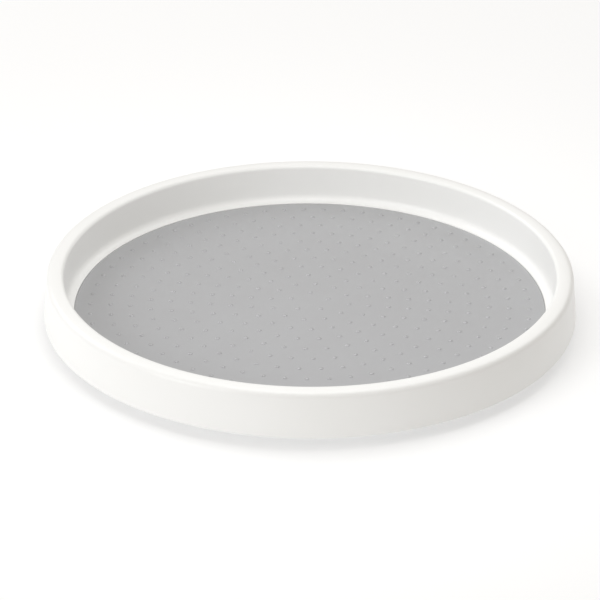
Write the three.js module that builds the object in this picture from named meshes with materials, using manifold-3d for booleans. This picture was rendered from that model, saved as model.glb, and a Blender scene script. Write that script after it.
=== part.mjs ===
// Lazy susan turntable: a low-walled round tray that spins on a caged ring of steel balls over a round base.
// Millimetres, with Z up. Z is the turning axis, and the origin is on the table under it.
import * as THREE from "three";
import { mergeVertices } from "three/addons/utils/BufferGeometryUtils.js";
import Module from "manifold-3d";

const wasm = await Module();
wasm.setup();

// Tray: a one-piece moulding with a hollow rim
const trayRadius = 203; // outer foot of the skirt
const rimHeight = 33.4; // skirt foot to the crown of the rim
const skirtLean = 3.2; // how far the skirt leans in between its foot and the rim
const skirtLift = 1.8; // foot of the skirt above the underside of the floor
const rimWidth = 13; // outer face to inner face, across the top of the rim
const innerLean = 0.3; // how far the inner wall leans in between the rim and the floor
const outerRound = 4.5; // shoulder of the rim, outside
const innerRound = 3; // edge of the rim, inside
const coveRadius = 6.2; // foot of the inner wall
const skirtWall = 2.4;
const innerWall = 2.2;
const floorWall = 2.2;
const rimRibCount = 24; // gussets inside the hollow rim
const rimRibWall = 1.6;
const rimRibLift = 5; // foot of a gusset above the foot of the skirt

// Grip mat, laid in a shallow recess of the tray's floor
const matWall = 1.4;
const matChamfer = 0.4;
const matGap = 0.35; // round the edge of the mat
const lipRise = 0.2; // edge of the recess above the mat

// Base
const baseWall = 2;
const baseChamfer = 0.8;
const baseLip = 2; // thickness of the upstanding edge and of the ridges beside the race
const baseRibWall = 1.8;
const baseRibDrop = 0.8; // top of a rib below the top of the ridges
const longRibCount = 8; // from the hub to the inner ridge
const shortRibCount = 12; // from the outer ridge to the edge

// Ball bearing
const raceRadius = 100;
const ballDiameter = 5.5;
const ballCount = 20;
const ballPlay = 0.25; // between a ball and its race
const raceDepth = 1; // how far each race is sunk in its own part
const cageWidth = 10;
const cageWall = 1.6;
const cagePlay = 0.6; // between the cage and the ridges
const cagePocketPlay = 0.4; // between a ball and its pocket
const underTrayGap = 1; // between the tray's underside and what stands up from the base

// Pivot: a screw and a washer hold the tray's boss in the hub of the base
const bossRadius = 7;
const bossPlay = 0.35;
const hubWall = 2;
const washerGrip = 3.65; // how far the washer reaches past the bore of the hub
const washerWall = 0.8;
const washerPlay = 0.3; // between the washer and the hub
const washerBore = 2.4;
const recessPlay = 2; // round the washer, under the hub
const screwRadius = 2;
const screwHeadRadius = 4.2;
const screwHeadHeight = 1.7;
const screwHeadLift = 0.2; // foot of the head above the underside of the base
const screwTip = 1; // length of the taper at the end
const screwGap = 0.3; // round the screw in its pilot hole, and past its end
const slotLength = 4.6; // cross recess of the screw
const slotWidth = 0.9;
const slotDepth = 0.9;
const pilotSkin = 1.1; // floor left over the pilot hole

// Feet: soft pads set in pockets of the base
const footCount = 6;
const footRadius = 7;
const footWall = 2.4;
const footProud = 1; // what stands out under the base
const footChamfer = 0.4;
const footGap = 0.3; // round the foot in its pocket
const pocketWall = 1.5; // round and over the pocket
const pocketPlay = 0.4; // between a pocket's wall and the rings inside and outside it

// Facets round each circle
const bigRound = 64;
const smallRound = 24;
const ballRound = 10;
const ballRings = 6;
const raceSteps = 6;
const join = 0.5; // how far a rib runs into the part that it is joined to

// Heights, from the table up
const ballRadius = ballDiameter / 2;
const raceArc = ballRadius + ballPlay;
const baseUnder = footProud;
const baseTop = baseUnder + baseWall;
const ballHeight = baseTop - raceDepth + raceArc;
const floorUnder = ballHeight + raceArc - raceDepth;
const floorTop = floorUnder + floorWall;
const matTop = floorTop + matWall;
const lipTop = matTop + lipRise;
const ridgeTop = floorUnder - underTrayGap;
const skirtFoot = floorUnder + skirtLift;
const rimTop = skirtFoot + rimHeight;
const headUnder = baseUnder + screwHeadLift;
const washerUnder = headUnder + screwHeadHeight;
const bossFoot = washerUnder + washerWall;
const hubUnder = bossFoot + washerPlay;
const hubTop = hubUnder + hubWall;
const pilotTop = floorTop - pilotSkin;
const pocketTop = footWall;
const raceEdge = (Math.acos((raceArc - raceDepth) / raceArc) * 180) / Math.PI; // degrees, half the race

// Radii
const rimOuter = trayRadius - skirtLean;
const rimInner = rimOuter - rimWidth;
const wallFoot = rimInner - innerLean;
const lipRadius = wallFoot - coveRadius;
const matRadius = lipRadius - matGap;
const pilotRadius = screwRadius + screwGap;
const hubBore = bossRadius + bossPlay;
const washerRadius = hubBore + washerGrip;
const hubRecess = washerRadius + recessPlay;
const hubOuter = hubRecess + hubWall;
const ridgeInner = raceRadius - cageWidth / 2 - cagePlay;
const ridgeOuter = raceRadius + cageWidth / 2 + cagePlay;
const pocketOuter = footRadius + footGap + pocketWall;
const footCircle = ridgeOuter + baseLip + pocketPlay + pocketOuter;
const baseRadius = footCircle + pocketOuter + pocketPlay + baseLip;

const white = { color: "#f1f1ef", roughness: 0.38, metalness: 0 };
const grey = { color: "#bababa", roughness: 0.8, metalness: 0 };
const steel = { color: "#b9bcc0", roughness: 0.2, metalness: 1 };
const natural = { color: "#dcdad2", roughness: 0.5, metalness: 0 };
const rubber = { color: "#8c8c8c", roughness: 0.9, metalness: 0 };

const radians = (degrees) => (degrees * Math.PI) / 180;

// Points along an arc in the plane of radius and height, both ends included.
function arc(r, z, radius, fromDegrees, toDegrees, steps) {
  const points = [];
  for (let i = 0; i <= steps; i += 1) {
    const a = radians(fromDegrees + ((toDegrees - fromDegrees) * i) / steps);
    points.push([r + radius * Math.cos(a), z + radius * Math.sin(a)]);
  }
  return points;
}

// A closed geometry as a solid that can be joined and cut.
function solid(geometry) {
  const bare = geometry.clone();
  bare.deleteAttribute("normal");
  bare.deleteAttribute("uv");
  const merged = mergeVertices(bare, 1e-4);
  return new wasm.Manifold(
    new wasm.Mesh({
      numProp: 3,
      vertProperties: merged.attributes.position.array,
      triVerts: new Uint32Array(merged.index.array),
    }),
  );
}

// A solid turned about Z. The outline runs clockwise in the plane of radius and height, and either
// starts and ends on the axis or is closed on itself here.
function turned(outline, rounds) {
  const points = outline.map(([r, z]) => new THREE.Vector2(r, z));
  const onAxis = points[0].x === 0 && points.at(-1).x === 0;
  if (!onAxis) points.push(points[0].clone());
  return solid(new THREE.LatheGeometry(points, rounds).rotateX(Math.PI / 2));
}

// A straight round bar or hole along Z, between two heights.
function bar(radius, low, high, rounds) {
  const geometry = new THREE.CylinderGeometry(radius, radius, high - low, rounds);
  geometry.rotateX(Math.PI / 2);
  return solid(geometry.translate(0, 0, (low + high) / 2));
}

// A flat rib of the given outline, standing on a radius of the part at an angle about Z.
function rib(outline, wall, degrees) {
  const shape = new THREE.Shape(outline.map(([r, z]) => new THREE.Vector2(r, z)));
  const geometry = new THREE.ExtrudeGeometry(shape, { depth: wall, bevelEnabled: false });
  geometry.translate(0, 0, -wall / 2);
  geometry.rotateX(Math.PI / 2);
  return solid(geometry.rotateZ(radians(degrees)));
}

// The same solid at several places on a circle about Z, from the +X side on.
function aroundZ(count, radius, make) {
  const placed = [];
  for (let i = 0; i < count; i += 1) {
    const a = radians((360 * i) / count);
    placed.push(make().translate([radius * Math.cos(a), radius * Math.sin(a), 0]));
  }
  return placed;
}

function geometryOf(made) {
  const { vertProperties, triVerts } = made.getMesh();
  const geometry = new THREE.BufferGeometry();
  geometry.setAttribute("position", new THREE.BufferAttribute(vertProperties, 3));
  geometry.setIndex(new THREE.BufferAttribute(triVerts, 1));
  geometry.computeVertexNormals();
  return geometry;
}

function piece(name, geometry, look) {
  const mesh = new THREE.Mesh(geometry, new THREE.MeshStandardMaterial(look));
  mesh.name = name;
  return mesh;
}

// Floor, cove, inner wall, rim and skirt in one turned outline, with the upper race sunk in the
// underside of the floor, a boss at the centre and gussets inside the hollow rim.
function trayShell() {
  const skirtInside = trayRadius - skirtWall;
  const rimInside = rimOuter - skirtWall;
  const roof = rimTop - skirtWall;
  const innerBack = rimInner + innerWall;
  const footBack = wallFoot + innerWall;
  const outline = [
    [0, bossFoot],
    [bossRadius, bossFoot],
    [bossRadius, floorUnder],
    ...arc(raceRadius, ballHeight, raceArc, 90 + raceEdge, 90 - raceEdge, raceSteps),
    [footBack - innerWall, floorUnder],
    [footBack, floorUnder + innerWall],
    [innerBack, roof - innerRound],
    [innerBack + innerRound, roof],
    [rimInside - innerRound, roof],
    [rimInside, roof - innerRound],
    [skirtInside, skirtFoot],
    [trayRadius, skirtFoot],
    ...arc(rimOuter - outerRound, rimTop - outerRound, outerRound, 0, 90, 5),
    ...arc(rimInner + innerRound, rimTop - innerRound, innerRound, 90, 180, 4),
    ...arc(wallFoot - coveRadius, lipTop + coveRadius, coveRadius, 0, -90, 5),
    [lipRadius, floorTop],
    [0, floorTop],
  ];
  let shell = turned(outline, bigRound);
  shell = shell.subtract(bar(pilotRadius, bossFoot - join, pilotTop, smallRound));
  const ribFoot = skirtFoot + rimRibLift;
  const gusset = [
    [footBack - join, ribFoot],
    [skirtInside - skirtLean * (rimRibLift / rimHeight) + join, ribFoot],
    [rimInside + join, roof - innerRound],
    [rimInside - innerRound, roof + join],
    [innerBack + innerRound, roof + join],
    [innerBack - join, roof - innerRound],
  ];
  for (let i = 0; i < rimRibCount; i += 1) {
    shell = shell.add(rib(gusset, rimRibWall, (360 * (i + 0.5)) / rimRibCount));
  }
  return geometryOf(shell);
}

// A thin disc with a bevelled upper edge.
function gripMat() {
  return geometryOf(
    turned(
      [
        [0, floorTop],
        [matRadius, floorTop],
        [matRadius, matTop - matChamfer],
        [matRadius - matChamfer, matTop],
        [0, matTop],
      ],
      bigRound,
    ),
  );
}

// A disc with a raised hub, the lower race between two ridges, an upstanding edge, ribs, and a
// pocket for each foot.
function basePlate() {
  const outline = [
    [hubBore, hubUnder],
    [hubRecess, hubUnder],
    [hubRecess, baseUnder],
    [baseRadius - baseChamfer, baseUnder],
    [baseRadius, baseUnder + baseChamfer],
    [baseRadius, ridgeTop],
    [baseRadius - baseLip, ridgeTop],
    [baseRadius - baseLip, baseTop],
    [ridgeOuter + baseLip, baseTop],
    [ridgeOuter + baseLip, ridgeTop],
    [ridgeOuter, ridgeTop],
    [ridgeOuter, baseTop],
    ...arc(raceRadius, ballHeight, raceArc, raceEdge - 90, -90 - raceEdge, raceSteps),
    [ridgeInner, baseTop],
    [ridgeInner, ridgeTop],
    [ridgeInner - baseLip, ridgeTop],
    [ridgeInner - baseLip, baseTop],
    [hubOuter, baseTop],
    [hubOuter, hubTop],
    [hubBore, hubTop],
  ];
  let plate = turned(outline, bigRound);
  const bosses = aroundZ(footCount, footCircle, () =>
    bar(pocketOuter, baseTop - join, pocketTop + pocketWall, smallRound),
  );
  for (const boss of bosses) plate = plate.add(boss);
  const pockets = aroundZ(footCount, footCircle, () =>
    bar(footRadius + footGap, baseUnder - join, pocketTop, smallRound),
  );
  for (const pocket of pockets) plate = plate.subtract(pocket);
  const ribTop = ridgeTop - baseRibDrop;
  const longRib = [
    [hubOuter - join, baseTop - join],
    [ridgeInner - baseLip + join, baseTop - join],
    [ridgeInner - baseLip + join, ribTop],
    [hubOuter - join, ribTop],
  ];
  for (let i = 0; i < longRibCount; i += 1) {
    plate = plate.add(rib(longRib, baseRibWall, (360 * (i + 0.5)) / longRibCount));
  }
  const shortRib = [
    [ridgeOuter + baseLip - join, baseTop - join],
    [baseRadius - baseLip + join, baseTop - join],
    [baseRadius - baseLip + join, ribTop],
    [ridgeOuter + baseLip - join, ribTop],
  ];
  for (let i = 0; i < shortRibCount; i += 1) {
    plate = plate.add(rib(shortRib, baseRibWall, (360 * (i + 0.5)) / shortRibCount));
  }
  return geometryOf(plate);
}

// A flat ring with a round pocket for each ball.
function ballCage() {
  const low = ballHeight - cageWall / 2;
  const high = ballHeight + cageWall / 2;
  const inner = raceRadius - cageWidth / 2;
  const outer = raceRadius + cageWidth / 2;
  let ring = turned(
    [
      [inner, low],
      [outer, low],
      [outer, high],
      [inner, high],
    ],
    bigRound,
  );
  const pockets = aroundZ(ballCount, raceRadius, () =>
    bar(ballRadius + cagePocketPlay, low - join, high + join, smallRound / 2),
  );
  for (const pocket of pockets) ring = ring.subtract(pocket);
  return geometryOf(ring);
}

// A pan head with a cross recess, a plain shank that stands for the thread, and a blunt tip.
function pivotScrew() {
  const headEdge = screwHeadHeight / 2;
  const screwEnd = pilotTop - screwGap;
  let screw = turned(
    [
      [0, headUnder],
      [screwHeadRadius - headEdge, headUnder],
      [screwHeadRadius, headUnder + headEdge],
      [screwHeadRadius, washerUnder],
      [screwRadius, washerUnder],
      [screwRadius, screwEnd - screwTip],
      [screwRadius / 2, screwEnd],
      [0, screwEnd],
    ],
    smallRound,
  );
  for (const [x, y] of [
    [slotLength, slotWidth],
    [slotWidth, slotLength],
  ]) {
    const slot = new THREE.BoxGeometry(x, y, slotDepth * 2);
    screw = screw.subtract(solid(slot.translate(0, 0, headUnder)));
  }
  return geometryOf(screw);
}

function pivotWasher() {
  return geometryOf(
    turned(
      [
        [washerBore, washerUnder],
        [washerRadius, washerUnder],
        [washerRadius, bossFoot],
        [washerBore, bossFoot],
      ],
      smallRound,
    ),
  );
}

// A soft disc, flat underneath, with a bevelled lower edge.
function foot() {
  return geometryOf(
    turned(
      [
        [0, 0],
        [footRadius - footChamfer, 0],
        [footRadius, footChamfer],
        [footRadius, footWall],
        [0, footWall],
      ],
      smallRound,
    ),
  );
}

// A piece repeated on a circle about the turning axis, numbered from the +X side.
function repeated(name, count, radius, height, geometry, look) {
  const group = new THREE.Group();
  for (let i = 0; i < count; i += 1) {
    const a = radians((360 * i) / count);
    const mesh = piece(`${name}_${String(i + 1).padStart(2, "0")}`, geometry, look);
    mesh.position.set(radius * Math.cos(a), radius * Math.sin(a), height);
    group.add(mesh);
  }
  return group;
}

const turntable = new THREE.Group();
turntable.add(
  piece("tray_shell", trayShell(), white),
  piece("grip_mat", gripMat(), grey),
  piece("base_plate", basePlate(), white),
  piece("ball_cage", ballCage(), natural),
  repeated(
    "ball",
    ballCount,
    raceRadius,
    ballHeight,
    new THREE.SphereGeometry(ballRadius, ballRound, ballRings).rotateX(Math.PI / 2),
    steel,
  ),
  piece("pivot_screw", pivotScrew(), steel),
  piece("pivot_washer", pivotWasher(), steel),
  repeated("foot", footCount, footCircle, 0, foot(), rubber),
);

export default turntable;
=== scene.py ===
import bpy
import bmesh
import math
from mathutils import Matrix, Quaternion, Vector


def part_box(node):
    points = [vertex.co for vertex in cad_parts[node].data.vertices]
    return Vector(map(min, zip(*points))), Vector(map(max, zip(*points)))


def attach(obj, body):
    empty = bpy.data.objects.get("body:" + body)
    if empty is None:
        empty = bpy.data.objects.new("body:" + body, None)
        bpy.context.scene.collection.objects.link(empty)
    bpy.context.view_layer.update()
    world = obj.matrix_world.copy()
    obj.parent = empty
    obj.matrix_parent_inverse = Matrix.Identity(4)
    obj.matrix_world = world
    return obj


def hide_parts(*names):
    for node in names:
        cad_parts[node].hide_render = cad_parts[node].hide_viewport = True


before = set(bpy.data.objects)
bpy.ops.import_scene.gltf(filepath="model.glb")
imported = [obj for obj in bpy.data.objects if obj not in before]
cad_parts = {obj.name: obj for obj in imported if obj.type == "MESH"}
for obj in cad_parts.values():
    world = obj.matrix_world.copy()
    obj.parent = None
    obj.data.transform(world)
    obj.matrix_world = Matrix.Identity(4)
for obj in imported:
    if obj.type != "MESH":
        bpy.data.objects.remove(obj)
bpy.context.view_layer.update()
mm = 0.001

# Places that several pieces share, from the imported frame
trayLow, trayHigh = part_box("tray_shell")
matLow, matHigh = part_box("grip_mat")
baseLow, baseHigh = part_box("base_plate")
cageLow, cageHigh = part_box("ball_cage")
ballLow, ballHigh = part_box("ball_01")
washerLow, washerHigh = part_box("pivot_washer")
screwLow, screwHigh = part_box("pivot_screw")
footLow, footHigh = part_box("foot_01")
ballRadius = (ballHigh.z - ballLow.z) / 2
ballHeight = (ballHigh.z + ballLow.z) / 2
raceRadius = (ballHigh.x + ballLow.x) / 2
footRadius = (footHigh.x - footLow.x) / 2
footCircle = (footHigh.x + footLow.x) / 2
ballNames = sorted(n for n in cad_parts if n.startswith("ball_") and n != "ball_cage")
footNames = sorted(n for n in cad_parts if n.startswith("foot_"))
race = {"play": 0.25 * mm, "depth": 1.0 * mm, "steps": 12}
raceArc = ballRadius + race["play"]
raceEdge = math.acos((raceArc - race["depth"]) / raceArc)


def linear(hexColour):
    parts = [int(hexColour[i:i + 2], 16) / 255 for i in (1, 3, 5)]
    return [p / 12.92 if p <= 0.04045 else ((p + 0.055) / 1.055) ** 2.4 for p in parts] + [1]


# Camera and lens
view = {
    "pitch": 27.175, "roll": 0.11, "distance": 1.7, "lens": 132.78, "sensor": 36,
    "aim": (-0.00754, 0.00123, 0.0112),
}
cameraData = bpy.data.cameras.new("studioCamera")
cameraData.lens = view["lens"]
cameraData.sensor_width = view["sensor"]
camera = bpy.data.objects.new("studioCamera", cameraData)
bpy.context.collection.objects.link(camera)
pitch = math.radians(view["pitch"])
back = Vector((0, -math.cos(pitch), math.sin(pitch)))
camera.location = Vector(view["aim"]) + back * view["distance"]
camera.rotation_mode = "QUATERNION"
roll = Quaternion((0, 0, 1), math.radians(view["roll"]))
camera.rotation_quaternion = (-back).to_track_quat("-Z", "Y") @ roll
bpy.context.scene.camera = camera
print("camera ready")


# Mesh helpers
shape = {"cornerSegments": 6, "ribSegments": 2, "weld": 1e-6, "smoothAngle": 32}


def arcOf(r, z, radius, start, end, steps):
    turns = [start + (end - start) * i / steps for i in range(steps + 1)]
    return [(r + radius * math.cos(t), z + radius * math.sin(t), 0) for t in turns]


def roundCorners(bm, corners, points, closed):
    # each corner asks for a radius, which the bevel takes as a distance along its two edges
    count = len(corners)
    for i, (r, z, radius) in enumerate(corners):
        if radius <= 0 or (not closed and i in (0, count - 1)):
            continue
        here = Vector((r, z))
        before = (Vector(corners[i - 1][:2]) - here).normalized()
        after = (Vector(corners[(i + 1) % count][:2]) - here).normalized()
        half = before.angle(after) / 2
        bmesh.ops.bevel(bm, geom=[points[i]], offset=radius / math.tan(half), offset_type="OFFSET",
                        segments=shape["cornerSegments"], profile=0.5, affect="VERTICES", material=-1)


def turnedShape(corners, steps, closed=False):
    # corners are (radius, height, rounding), and the outline is spun about the turning axis
    bm = bmesh.new()
    points = [bm.verts.new((r, 0, z)) for r, z, rounding in corners]
    for a, b in zip(points, points[1:] + points[:1]):
        if closed or b is not points[0]:
            bm.edges.new((a, b))
    roundCorners(bm, corners, points, closed)
    bmesh.ops.spin(bm, geom=bm.verts[:] + bm.edges[:], cent=(0, 0, 0), axis=(0, 0, 1),
                   angle=2 * math.pi, steps=steps, use_merge=True)
    bmesh.ops.remove_doubles(bm, verts=bm.verts[:], dist=shape["weld"])
    bmesh.ops.recalc_face_normals(bm, faces=bm.faces[:])
    return bm


def addShape(bm, other, place=Matrix.Identity(4)):
    bmesh.ops.transform(other, matrix=place, verts=other.verts[:])
    spare = bpy.data.meshes.new("spare")
    other.to_mesh(spare)
    other.free()
    bm.from_mesh(spare)
    bpy.data.meshes.remove(spare)


def turned(i, count):
    return Matrix.Rotation(2 * math.pi * i / count, 4, "Z")


def flatRib(outline, wall, softEdge):
    # an upright rib on the +X radius, with its long edges eased where that is asked for
    bm = bmesh.new()
    face = bm.faces.new([bm.verts.new((r, -wall / 2, z)) for r, z in outline])
    grown = bmesh.ops.extrude_face_region(bm, geom=[face])
    moved = [v for v in grown["geom"] if isinstance(v, bmesh.types.BMVert)]
    bmesh.ops.translate(bm, vec=(0, wall, 0), verts=moved)
    bmesh.ops.recalc_face_normals(bm, faces=bm.faces[:])
    if softEdge:
        bmesh.ops.bevel(bm, geom=bm.edges[:], offset=softEdge, offset_type="OFFSET",
                        segments=shape["ribSegments"], profile=0.5, affect="EDGES", material=-1)
    return bm


def upright(radius, low, high, edge, steps):
    # a short round boss or hole, eased at its upper edge
    return turnedShape([(0, low, 0), (radius, low, 0), (radius, high, edge), (0, high, 0)], steps)


def finishPiece(name, bm, material, body, slotName, *nodes):
    mesh = bpy.data.meshes.new(name)
    bm.to_mesh(mesh)
    bm.free()
    mesh.polygons.foreach_set("use_smooth", [True] * len(mesh.polygons))
    mesh.set_sharp_from_angle(angle=math.radians(shape["smoothAngle"]))
    mesh.materials.append(material)
    piece = bpy.data.objects.new(name, mesh)
    bpy.context.collection.objects.link(piece)
    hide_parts(*nodes)
    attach(piece, body)


def cutShape(bm, cutter):
    # an exact boolean, applied, so that the piece keeps no modifier
    made = []
    for source in (bm, cutter):
        mesh = bpy.data.meshes.new("cutting")
        source.to_mesh(mesh)
        source.free()
        made.append(bpy.data.objects.new("cutting", mesh))
        bpy.context.collection.objects.link(made[-1])
    cut = made[0].modifiers.new("cut", "BOOLEAN")
    cut.operation = "DIFFERENCE"
    cut.solver = "EXACT"
    cut.object = made[1]
    bpy.context.view_layer.update()
    result = bmesh.new()
    result.from_object(made[0], bpy.context.evaluated_depsgraph_get())
    for spare in made:
        mesh = spare.data
        bpy.data.objects.remove(spare)
        bpy.data.meshes.remove(mesh)
    return result


# Materials
def addNode(tree, kind, links=(), **settings):
    node = tree.nodes.new("ShaderNode" + kind)
    for name, value in settings.items():
        if hasattr(node, name):
            setattr(node, name, value)
        else:
            node.inputs[name.replace("_", " ")].default_value = value
    for socket, source in links:
        tree.links.new(source, node.inputs[socket])
    return node


def newMaterial(name, **shaderValues):
    material = bpy.data.materials.new(name)
    material.use_nodes = True
    tree = material.node_tree
    shader = tree.nodes["Principled BSDF"]
    for key, value in shaderValues.items():
        shader.inputs[key.replace("_", " ")].default_value = value
    return material, tree, shader


# How far the roughness strays from its middle, and how deep each relief is
relief = {
    "plasticStray": 0.05, "plasticRipple": 0.1 * mm, "plasticGrain": 0.02 * mm,
    "rubberStray": 0.06, "rubberGrain": 0.05 * mm,
}


# Injection moulded polypropylene, satin: a clean white with a soft sheen and a faint ripple in it
def satinMouldedPlastic(name, colour, values):
    material, tree, shader = newMaterial(name, IOR=1.49, Specular_IOR_Level=0.5)
    place = addNode(tree, "TexCoord").outputs["Object"]
    cloud = addNode(tree, "TexNoise", [("Vector", place)], Scale=1 / values["cloud"], Detail=2.0)
    tint = addNode(tree, "Mix", [("Factor", cloud.outputs["Fac"])], data_type="RGBA")
    tint.inputs["A"].default_value = linear(colour)
    tint.inputs["B"].default_value = linear(values["shade"])
    tree.links.new(tint.outputs["Result"], shader.inputs["Base Color"])
    grain = addNode(tree, "TexNoise", [("Vector", place)], Scale=1 / values["grain"], Detail=3.0)
    rough = addNode(tree, "MapRange", [("Value", grain.outputs["Fac"])],
                    To_Min=values["rough"] - relief["plasticStray"],
                    To_Max=values["rough"] + relief["plasticStray"])
    tree.links.new(rough.outputs["Result"], shader.inputs["Roughness"])
    ripple = addNode(tree, "TexNoise", [("Vector", place)], Scale=1 / values["ripple"], Detail=1.0)
    soft = addNode(tree, "Bump", [("Height", ripple.outputs["Fac"])], Strength=values["rippleStrength"],
                   Distance=relief["plasticRipple"])
    fine = addNode(tree, "Bump", [("Height", grain.outputs["Fac"]), ("Normal", soft.outputs["Normal"])],
                   Strength=values["grainStrength"], Distance=relief["plasticGrain"])
    tree.links.new(fine.outputs["Normal"], shader.inputs["Normal"])
    return material


# Moulded thermoplastic elastomer: a light grey with a low, soft shine and a fine spark-eroded grain
def softElastomer(name, colour, values):
    material, tree, shader = newMaterial(name, IOR=1.45, Specular_IOR_Level=values["shine"],
                                         Sheen_Weight=values["sheen"], Sheen_Roughness=0.5)
    place = addNode(tree, "TexCoord").outputs["Object"]
    cloud = addNode(tree, "TexNoise", [("Vector", place)], Scale=1 / values["cloud"], Detail=3.0)
    tint = addNode(tree, "Mix", [("Factor", cloud.outputs["Fac"])], data_type="RGBA")
    tint.inputs["A"].default_value = linear(colour)
    tint.inputs["B"].default_value = linear(values["shade"])
    tree.links.new(tint.outputs["Result"], shader.inputs["Base Color"])
    grain = addNode(tree, "TexNoise", [("Vector", place)], Scale=1 / values["grain"], Detail=2.0)
    rough = addNode(tree, "MapRange", [("Value", grain.outputs["Fac"])],
                    To_Min=values["rough"] - relief["rubberStray"],
                    To_Max=values["rough"] + relief["rubberStray"]).outputs["Result"]
    if "polish" in values:
        # studs stand in bright pockets of the mould, so their crowns catch a small highlight
        height = addNode(tree, "SeparateXYZ", [("Vector", place)]).outputs["Z"]
        crown = addNode(tree, "MapRange", [("Value", height)], From_Min=values["polishFrom"],
                        From_Max=values["polishFrom"] + values["polishFade"], To_Min=0,
                        To_Max=values["polish"])
        rough = addNode(tree, "Math", [(0, rough), (1, crown.outputs["Result"])],
                        operation="SUBTRACT").outputs["Value"]
    tree.links.new(rough, shader.inputs["Roughness"])
    fine = addNode(tree, "Bump", [("Height", grain.outputs["Fac"])], Strength=values["grainStrength"],
                   Distance=relief["rubberGrain"])
    tree.links.new(fine.outputs["Normal"], shader.inputs["Normal"])
    return material


# Hardened bearing steel, ground and polished: a mirror with faint tracks of wear
def polishedBallSteel(colour, values):
    material, tree, shader = newMaterial("polishedBallSteel", Metallic=1.0, Base_Color=linear(colour))
    place = addNode(tree, "TexCoord").outputs["Object"]
    wear = addNode(tree, "TexNoise", [("Vector", place)], Scale=1 / values["wear"], Detail=2.0)
    rough = addNode(tree, "MapRange", [("Value", wear.outputs["Fac"])], To_Min=values["smooth"],
                    To_Max=values["worn"])
    tree.links.new(rough.outputs["Result"], shader.inputs["Roughness"])
    return material


# Bright zinc plate on pressed steel: a bluish grey, a little cloudy
def zincPlatedSteel(colour, values):
    material, tree, shader = newMaterial("zincPlatedSteel", Metallic=1.0)
    place = addNode(tree, "TexCoord").outputs["Object"]
    cloud = addNode(tree, "TexNoise", [("Vector", place)], Scale=1 / values["cloud"], Detail=3.0)
    tint = addNode(tree, "Mix", [("Factor", cloud.outputs["Fac"])], data_type="RGBA")
    tint.inputs["A"].default_value = linear(colour)
    tint.inputs["B"].default_value = linear(values["shade"])
    tree.links.new(tint.outputs["Result"], shader.inputs["Base Color"])
    rough = addNode(tree, "MapRange", [("Value", cloud.outputs["Fac"])], To_Min=values["smooth"],
                    To_Max=values["dull"])
    tree.links.new(rough.outputs["Result"], shader.inputs["Roughness"])
    return material


trayPlastic = satinMouldedPlastic("satinTrayPlastic", "#f5f5f4", {
    "shade": "#f2f2f0", "cloud": 60 * mm, "rough": 0.34, "grain": 0.8 * mm, "grainStrength": 0.1,
    "ripple": 14 * mm, "rippleStrength": 0.08})
basePlastic = satinMouldedPlastic("mattBasePlastic", "#eeeeeb", {
    "shade": "#e7e7e3", "cloud": 30 * mm, "rough": 0.52, "grain": 0.5 * mm, "grainStrength": 0.3,
    "ripple": 12 * mm, "rippleStrength": 0.1})
cagePlastic = satinMouldedPlastic("naturalCagePlastic", "#dfdccf", {
    "shade": "#d2cebf", "cloud": 8 * mm, "rough": 0.45, "grain": 0.4 * mm, "grainStrength": 0.2,
    "ripple": 6 * mm, "rippleStrength": 0.1})
matElastomer = softElastomer("grippyMatElastomer", "#adaeb0", {
    "shade": "#a9a9ab", "cloud": 22 * mm, "rough": 0.38, "grain": 0.7 * mm, "grainStrength": 0.35,
    "shine": 0.8, "sheen": 0.05, "polish": 0.24, "polishFrom": matHigh.z + 0.05 * mm,
    "polishFade": 0.25 * mm})
footRubber = softElastomer("mouldedFootRubber", "#8f8f8f", {
    "shade": "#858585", "cloud": 5 * mm, "rough": 0.78, "grain": 0.35 * mm, "grainStrength": 0.5,
    "shine": 0.3, "sheen": 0.05})
ballSteel = polishedBallSteel("#c4c6ca", {"wear": 0.6 * mm, "smooth": 0.08, "worn": 0.2})
screwSteel = zincPlatedSteel("#bfc3c8", {"shade": "#a2a8b0", "cloud": 3 * mm, "smooth": 0.25, "dull": 0.42})
print("materials ready")

# Tray: floor, cove, inner wall, rim and skirt spun in one, with gussets inside the hollow rim
tray = {
    "rimWidth": 13 * mm, "skirtLean": 3.2 * mm, "innerLean": 0.3 * mm, "crown": 0.3 * mm,
    "outerRound": 4.5 * mm, "innerRound": 3 * mm, "coveRound": 6.2 * mm, "skirtWall": 2.4 * mm,
    "innerWall": 2.2 * mm, "floorWall": 2.2 * mm, "lipRise": 0.2 * mm, "lipEdge": 0.1 * mm,
    "edge": 0.5 * mm, "crownRound": 20 * mm, "hollowRound": 2 * mm, "floorRound": 2.5 * mm,
    "skirtLift": 1.8 * mm, "bossRadius": 7 * mm, "pilotRadius": 2.3 * mm, "pilotSkin": 1.1 * mm,
    "gussets": 24, "gussetWall": 1.6 * mm, "gussetLift": 5 * mm, "steps": 256,
}
floorTop = matLow.z
floorUnder = floorTop - tray["floorWall"]
skirtFoot = floorUnder + tray["skirtLift"]
rimTop = trayHigh.z
trayRadius = trayHigh.x
rimOuter = trayRadius - tray["skirtLean"]
rimInner = rimOuter - tray["rimWidth"]
wallFoot = rimInner - tray["innerLean"]
lipRadius = wallFoot - tray["coveRound"]
lipTop = matHigh.z + tray["lipRise"]
bossFoot = trayLow.z
pilotTop = floorTop - tray["pilotSkin"]


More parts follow.
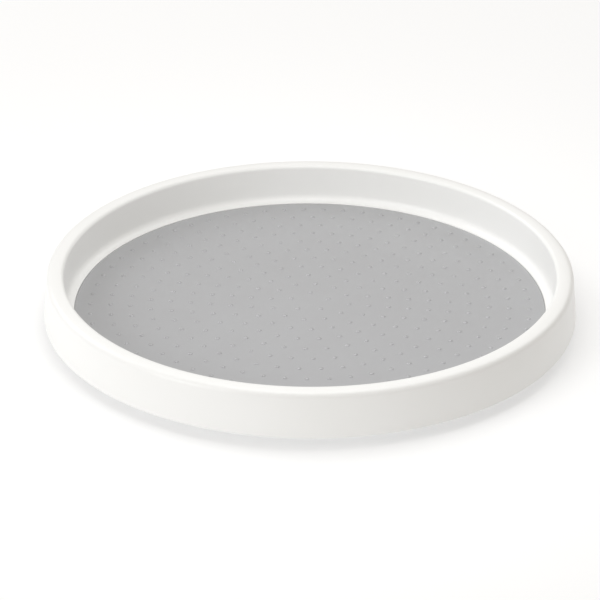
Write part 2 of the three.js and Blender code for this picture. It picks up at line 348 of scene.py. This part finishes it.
def makeTray():
    edge, hollow = tray["edge"], tray["hollowRound"]
    roof = rimTop - tray["skirtWall"]
    innerBack = rimInner + tray["innerWall"]
    footBack = wallFoot + tray["innerWall"]
    rimInside = rimOuter - tray["skirtWall"]
    skirtInside = trayRadius - tray["skirtWall"]
    shoulder = rimTop - tray["crown"]
    corners = [
        (0, floorTop, 0),
        (lipRadius, floorTop, tray["lipEdge"]),
        (lipRadius, lipTop, tray["lipEdge"]),
        (wallFoot, lipTop, tray["coveRound"]),
        (rimInner, shoulder, tray["innerRound"]),
        ((rimInner + rimOuter) / 2, rimTop, tray["crownRound"]),
        (rimOuter, shoulder, tray["outerRound"]),
        (trayRadius, skirtFoot, edge),
        (skirtInside, skirtFoot, edge),
        (rimInside, roof, hollow),
        (innerBack, roof, hollow),
        (footBack, floorUnder, tray["floorRound"]),
        *arcOf(raceRadius, ballHeight, raceArc, math.pi / 2 - raceEdge, math.pi / 2 + raceEdge,
               race["steps"]),
        (tray["bossRadius"], floorUnder, edge),
        (tray["bossRadius"], bossFoot, edge),
        (tray["pilotRadius"], bossFoot, edge / 2),
        (tray["pilotRadius"], pilotTop, edge / 2),
        (0, pilotTop, 0),
    ]
    bm = turnedShape(corners, tray["steps"])
    gussetFoot = skirtFoot + tray["gussetLift"]
    skirtAtFoot = skirtInside - tray["skirtLean"] * tray["gussetLift"] / (rimTop - skirtFoot)
    outline = [
        (footBack - edge, gussetFoot), (skirtAtFoot + edge, gussetFoot),
        (rimInside + edge, roof - hollow), (rimInside - hollow, roof + edge),
        (innerBack + hollow, roof + edge), (innerBack - edge, roof - hollow),
    ]
    for i in range(tray["gussets"]):
        addShape(bm, flatRib(outline, tray["gussetWall"], 0), turned(i + 0.5, tray["gussets"]))
    finishPiece("trayMoulding", bm, trayPlastic, "tray", "tray_plastic", "tray_shell")


makeTray()
print("tray ready")

# Grip mat: a soft disc with rings of low studs, each ring with its own number and turn
mat = {
    "edge": 0.35 * mm, "steps": 192, "ringSpacing": 15.3 * mm, "ringStart": -0.3 * mm,
    "ringCounts": (5, 12, 18, 24, 30, 36, 42, 48, 52, 58, 64),
    "ringTurns": (16, -8.7, -8.7, -8.7, -8.7, -8.7, -8.7, -8.7, 3.2, 2.1, 1.6),
    "studRadius": 1.9 * mm, "studHeight": 0.95 * mm, "studSink": 0.1 * mm, "studSides": 12,
    "studCurve": [(0.4, 0.86), (0.7, 0.55), (0.9, 0.22), (1.0, 0.0)],
}


def makeStud():
    # a low dome whose foot is sunk a little way into the mat
    corners = [(0, mat["studHeight"], 0)]
    corners += [(mat["studRadius"] * r, mat["studHeight"] * z, 0) for r, z in mat["studCurve"]]
    corners += [(mat["studRadius"], -mat["studSink"], 0), (0, -mat["studSink"], 0)]
    return turnedShape(corners, mat["studSides"])


def makeMat():
    radius = matHigh.x
    bm = turnedShape([
        (0, matLow.z, 0), (radius, matLow.z, mat["edge"] / 2), (radius, matHigh.z, mat["edge"]),
        (0, matHigh.z, 0),
    ], mat["steps"])
    for ring, (count, turn) in enumerate(zip(mat["ringCounts"], mat["ringTurns"]), 1):
        away = Matrix.Translation((ring * mat["ringSpacing"] + mat["ringStart"], 0, matHigh.z))
        for i in range(count):
            addShape(bm, makeStud(), turned(i + turn * count / 360, count) @ away)
    finishPiece("gripMat", bm, matElastomer, "tray", "mat_elastomer", "grip_mat")


makeMat()
print("mat ready")

# Base: a disc with a hub, the lower race between two ridges, ribs, an upstanding edge and foot pockets
base = {
    "wall": 2 * mm, "lip": 2 * mm, "chamfer": 0.8 * mm, "edge": 0.3 * mm, "cagePlay": 0.6 * mm,
    "bossPlay": 0.35 * mm, "recessPlay": 2 * mm, "hubWall": 2 * mm, "washerPlay": 0.3 * mm,
    "ribWall": 1.8 * mm, "ribDrop": 0.8 * mm, "longRibs": 8, "shortRibs": 12, "ribEdge": 0.25 * mm,
    "footGap": 0.3 * mm, "pocketWall": 1.5 * mm, "join": 0.5 * mm, "steps": 192, "pocketSteps": 48,
}


def makeBase():
    edge, lip, join = base["edge"], base["lip"], base["join"]
    under, top, radius = baseLow.z, baseLow.z + base["wall"], baseHigh.x
    ridgeTop = baseHigh.z
    hubBore = tray["bossRadius"] + base["bossPlay"]
    hubUnder = washerHigh.z + base["washerPlay"]
    hubTop = hubUnder + base["hubWall"]
    hubRecess = washerHigh.x + base["recessPlay"]
    hubOuter = hubRecess + base["hubWall"]
    ridgeInner = 2 * raceRadius - cageHigh.x - base["cagePlay"]
    ridgeOuter = cageHigh.x + base["cagePlay"]
    bm = turnedShape([
        (hubBore, hubUnder, edge), (hubRecess, hubUnder, edge), (hubRecess, under, edge),
        (radius, under, base["chamfer"]), (radius, ridgeTop, edge), (radius - lip, ridgeTop, edge),
        (radius - lip, top, edge), (ridgeOuter + lip, top, edge), (ridgeOuter + lip, ridgeTop, edge),
        (ridgeOuter, ridgeTop, edge), (ridgeOuter, top, edge),
        *arcOf(raceRadius, ballHeight, raceArc, raceEdge - math.pi / 2, -raceEdge - math.pi / 2,
               race["steps"]),
        (ridgeInner, top, edge), (ridgeInner, ridgeTop, edge), (ridgeInner - lip, ridgeTop, edge),
        (ridgeInner - lip, top, edge), (hubOuter, top, edge), (hubOuter, hubTop, edge),
        (hubBore, hubTop, edge),
    ], base["steps"], closed=True)
    away = Matrix.Translation((footCircle, 0, 0))
    pockets = bmesh.new()
    for i in range(len(footNames)):
        pocket = upright(footRadius + base["footGap"], under - join, footHigh.z, 0, base["pocketSteps"])
        addShape(pockets, pocket, turned(i, len(footNames)) @ away)
    bm = cutShape(bm, pockets)
    for i in range(len(footNames)):
        boss = upright(footRadius + base["footGap"] + base["pocketWall"], top - join,
                       footHigh.z + base["pocketWall"], edge, base["pocketSteps"])
        addShape(bm, boss, turned(i, len(footNames)) @ away)
    ribTop = ridgeTop - base["ribDrop"]
    for inner, outer, count in ((hubOuter, ridgeInner - lip, base["longRibs"]),
                                (ridgeOuter + lip, radius - lip, base["shortRibs"])):
        low, high = inner - join, outer + join
        outline = [(low, top - join), (high, top - join), (high, ribTop), (low, ribTop)]
        for i in range(count):
            addShape(bm, flatRib(outline, base["ribWall"], base["ribEdge"]), turned(i + 0.5, count))
    finishPiece("basePlate", bm, basePlastic, "base", "base_plastic", "base_plate")


makeBase()
print("base ready")

# Feet: soft pads, each with a shallow dish in its face
foot = {"edge": 0.45 * mm, "dish": 0.3 * mm, "dishRadius": 4.2 * mm, "slope": 0.8 * mm, "steps": 48}


def makeFoot(name):
    low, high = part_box(name)
    centre = Matrix.Translation(((low.x + high.x) / 2, (low.y + high.y) / 2, 0))
    bm = bmesh.new()
    addShape(bm, turnedShape([
        (0, low.z + foot["dish"], 0), (foot["dishRadius"], low.z + foot["dish"], foot["edge"]),
        (foot["dishRadius"] + foot["slope"], low.z, foot["edge"] / 2),
        (footRadius, low.z, foot["edge"]), (footRadius, high.z, foot["edge"] / 2), (0, high.z, 0),
    ], foot["steps"]), centre)
    finishPiece("rubber" + name.title().replace("_", ""), bm, footRubber, "base", "foot_rubber", name)


for name in footNames:
    makeFoot(name)
print("feet ready")

# Cage: a flat ring with an eased pocket round each ball
cage = {"edge": 0.3 * mm, "pocketPlay": 0.4 * mm, "flare": 0.3 * mm, "past": 0.2 * mm, "steps": 240,
        "pocketSteps": 32}


def makeCage():
    low, high = cageLow.z, cageHigh.z
    outer = cageHigh.x
    inner = 2 * raceRadius - outer
    edge, flare, past = cage["edge"], cage["flare"], cage["past"]
    bm = turnedShape([(inner, low, edge), (outer, low, edge), (outer, high, edge), (inner, high, edge)],
                     cage["steps"], closed=True)
    pocket = ballRadius + cage["pocketPlay"]
    wide = pocket + flare + past
    outline = [(0, low - past, 0), (wide, low - past, 0), (pocket, low + flare, 0),
               (pocket, high - flare, 0), (wide, high + past, 0), (0, high + past, 0)]
    cutter = bmesh.new()
    for i in range(len(ballNames)):
        place = turned(i, len(ballNames)) @ Matrix.Translation((raceRadius, 0, 0))
        addShape(cutter, turnedShape(outline, cage["pocketSteps"]), place)
    finishPiece("ballCage", cutShape(bm, cutter), cagePlastic, "cage", "cage_plastic", "ball_cage")


makeCage()
print("cage ready")

# Balls: ground steel, round to the eye
ball = {"around": 32, "up": 16}


def makeBall(name):
    low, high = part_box(name)
    bm = bmesh.new()
    bmesh.ops.create_uvsphere(bm, u_segments=ball["around"], v_segments=ball["up"], radius=ballRadius,
                              matrix=Matrix.Translation((low + high) / 2))
    finishPiece("steel" + name.title().replace("_", ""), bm, ballSteel, "rolling_" + name,
                "ball_steel", name)


for name in ballNames:
    makeBall(name)
print("balls ready")

# Pivot: a pan-head screw with a cross recess, and the washer that it holds
pivot = {
    "headRound": 1.1 * mm, "edge": 0.15 * mm, "rootRadius": 1.6 * mm, "threadPitch": 0.9 * mm,
    "threadRadius": 1.98 * mm, "threadWidth": 0.5 * mm, "threadSink": 0.1 * mm, "threadWeld": 1e-7,
    "tip": 1 * mm, "steps": 64, "perTurn": 24, "slotLength": 4.6 * mm, "slotWidth": 0.9 * mm,
    "slotDepth": 0.9 * mm, "slotTaper": (0.7, 0.6, 1), "bore": 2.4 * mm,
}


def makeSlot(turn):
    # one arm of the recess, which narrows towards its floor
    bm = bmesh.new()
    bmesh.ops.create_cube(bm, size=1)
    size = (pivot["slotLength"], pivot["slotWidth"], 2 * pivot["slotDepth"])
    bmesh.ops.scale(bm, vec=size, verts=bm.verts[:])
    bmesh.ops.scale(bm, vec=pivot["slotTaper"], verts=[v for v in bm.verts if v.co.z > 0])
    place = Matrix.Translation((0, 0, screwLow.z)) @ Matrix.Rotation(turn, 4, "Z")
    bmesh.ops.transform(bm, matrix=place, verts=bm.verts[:])
    return bm


def makeThread(low, high):
    bm = bmesh.new()
    root = pivot["rootRadius"] - pivot["threadSink"]
    crest, half = pivot["threadRadius"], pivot["threadWidth"] / 2
    tooth = [bm.verts.new((r, 0, low + z)) for r, z in ((root, -half), (crest, 0), (root, half))]
    bm.faces.new(tooth)
    steps = int((high - low) / pivot["threadPitch"] * pivot["perTurn"])
    rise = pivot["threadPitch"] / pivot["perTurn"]
    bmesh.ops.spin(bm, geom=bm.faces[:], cent=(0, 0, 0), axis=(0, 0, 1), dvec=(0, 0, rise),
                   angle=2 * math.pi * steps / pivot["perTurn"], steps=steps)
    bmesh.ops.remove_doubles(bm, verts=bm.verts[:], dist=pivot["threadWeld"])
    bmesh.ops.recalc_face_normals(bm, faces=bm.faces[:])
    return bm


def makeScrew():
    under, seat, top = screwLow.z, washerLow.z, screwHigh.z
    head, root = screwHigh.x, pivot["rootRadius"]
    neck = seat + (washerHigh.z - washerLow.z)
    bm = turnedShape([
        (0, under, 0), (head, under, pivot["headRound"]), (head, seat, pivot["edge"]),
        (root, seat, 0), (root, top - pivot["tip"], 0), (root / 2, top, pivot["edge"]), (0, top, 0),
    ], pivot["steps"])
    for turn in (0, math.pi / 2):
        bm = cutShape(bm, makeSlot(turn))
    addShape(bm, makeThread(neck, top - pivot["tip"]))
    finishPiece("pivotScrew", bm, screwSteel, "tray", "screw_steel", "pivot_screw")


def makeWasher():
    low, high, outer, edge = washerLow.z, washerHigh.z, washerHigh.x, pivot["edge"]
    bm = turnedShape([(pivot["bore"], low, edge), (outer, low, edge), (outer, high, edge),
                      (pivot["bore"], high, edge)], pivot["steps"] * 2, closed=True)
    finishPiece("pivotWasher", bm, screwSteel, "tray", "screw_steel", "pivot_washer")


makeScrew()
makeWasher()
print("pivot ready")

# Studio: a pale floor in soft light from all round, a large key at the front left, three lights behind,
# and a small soft one close over the tray that opens up its inner wall. The floor's own glow keeps the
# shadow faint.
studio = {
    "floor": "#cfcfcf", "floorSize": 60, "floorRough": 0.9, "floorShine": 0.1, "floorGlow": 0.44,
    "glowColour": "#ffffff", "world": 0.425, "worldColour": "#fff9f1", "lightColour": "#fbfdff",
    "key": {"turn": -50, "rise": 24, "size": 1.4, "power": 15.9, "distance": 2.2},
    "backLeft": {"turn": -125, "rise": 35, "size": 1.4, "power": 10.5, "distance": 2.2},
    "backRight": {"turn": 135, "rise": 40, "size": 1.4, "power": 7.6, "distance": 2.2},
    "back": {"turn": 180, "rise": 40, "size": 1.6, "power": 2.0, "distance": 2.2},
    "near": {"turn": 0, "rise": 82, "size": 0.4, "power": 0.92, "distance": 0.46},
}


def makeFloor():
    bm = bmesh.new()
    bmesh.ops.create_grid(bm, x_segments=2, y_segments=2, size=studio["floorSize"] / 2)
    mesh = bpy.data.meshes.new("studioFloor")
    bm.to_mesh(mesh)
    bm.free()
    paper = newMaterial("palePaperFloor", Base_Color=linear(studio["floor"]), Roughness=studio["floorRough"],
                        Specular_IOR_Level=studio["floorShine"], Emission_Strength=studio["floorGlow"],
                        Emission_Color=linear(studio["glowColour"]))
    mesh.materials.append(paper[0])
    floor = bpy.data.objects.new("studioFloor", mesh)
    bpy.context.collection.objects.link(floor)


def makeLight(name, turn, rise, size, power, distance):
    data = bpy.data.lights.new(name, "AREA")
    data.shape = "DISK"
    data.size = size
    data.energy = power
    data.color = linear(studio["lightColour"])[:3]
    light = bpy.data.objects.new(name, data)
    aside, up = math.radians(turn), math.radians(rise)
    away = Vector((math.sin(aside) * math.cos(up), -math.cos(aside) * math.cos(up), math.sin(up)))
    light.location = away * distance
    light.visible_camera = False
    light.rotation_mode = "QUATERNION"
    light.rotation_quaternion = (-away).to_track_quat("-Z", "Y")
    bpy.context.collection.objects.link(light)


makeFloor()
for name in ("key", "backLeft", "backRight", "back", "near"):
    makeLight(name + "Light", **studio[name])
world = bpy.data.worlds.new("softStudio")
world.use_nodes = True
background = world.node_tree.nodes["Background"]
background.inputs["Color"].default_value = linear(studio["worldColour"])
background.inputs["Strength"].default_value = studio["world"]
bpy.context.scene.world = world
bpy.context.scene.view_settings.view_transform = "Standard"
print("studio ready")
